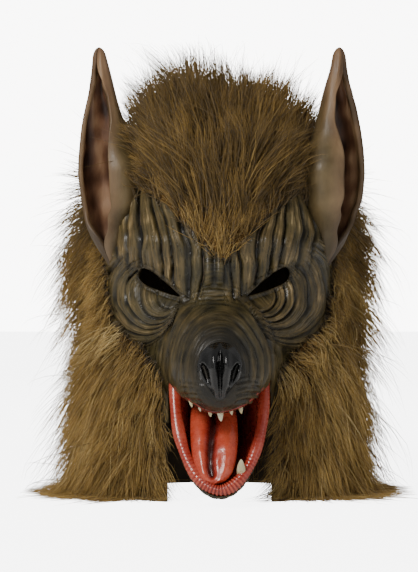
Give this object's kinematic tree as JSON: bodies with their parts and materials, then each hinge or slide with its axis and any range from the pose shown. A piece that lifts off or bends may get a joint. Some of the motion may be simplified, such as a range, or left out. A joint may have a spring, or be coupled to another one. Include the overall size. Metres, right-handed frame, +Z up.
{
  "type": "latex halloween mask",
  "caption": "Full-head latex wolf mask with an open fanged mouth, hanging tongue, tall flexing ears and a shaggy brown fur hood.",
  "frame": {"origin": "on the plane of the hem, under the middle of the mask's overall width and depth", "axes": "+Z up, -Y out of the face, +X towards the wearer's left"},
  "size_m": [0.268, 0.2921, 0.3222],
  "materials": {
    "face_latex": "satin",
    "hood_latex": "satin",
    "ear_latex": "satin",
    "mouth_red": "gloss",
    "nose_black": "gloss",
    "tooth": "gloss",
    "fur": "matte"
  },
  "bodies": {
    "head": {"face_skin": "face_latex", "hood_skin": "hood_latex", "palate_lining": "mouth_red", "upper_teeth": "tooth", "nose_pad": "nose_black", "crown_fur": "fur", "brow_fur": "fur", "back_fur": "fur", "cheek_fur_left": "fur", "cheek_fur_right": "fur", "neck_fur_left": "fur", "neck_fur_right": "fur"},
    "jaw": {"jaw_skin": "face_latex", "jaw_lining": "mouth_red", "lower_fang": "tooth"},
    "tongue": {"tongue": "mouth_red"},
    "left_ear": {"ear_left": "ear_latex"},
    "right_ear": {"ear_right": "ear_latex"}
  },
  "joints": [
    {"name": "jaw_flex", "type": "hinge", "parent": "head", "child": "jaw", "pos_m": [0, -0.062, 0.084], "axis": [-1, 0, 0], "range_deg": [-3, 12], "stiffness_Nm_per_rad": 0.3},
    {"name": "tongue_flex", "type": "hinge", "parent": "jaw", "child": "tongue", "pos_m": [-0.004, -0.0755, 0.0598], "axis": [-1, 0, 0], "range_deg": [-2, 8], "stiffness_Nm_per_rad": 0.05},
    {"name": "ear_left_flex", "type": "hinge", "parent": "head", "child": "left_ear", "pos_m": [0.08, -0.024, 0.196], "axis": [0, 1, 0], "range_deg": [-8, 15], "stiffness_Nm_per_rad": 0.2},
    {"name": "ear_right_flex", "type": "hinge", "parent": "head", "child": "right_ear", "pos_m": [-0.08, -0.024, 0.196], "axis": [0, -1, 0], "range_deg": [-8, 15], "stiffness_Nm_per_rad": 0.2}
  ]
}
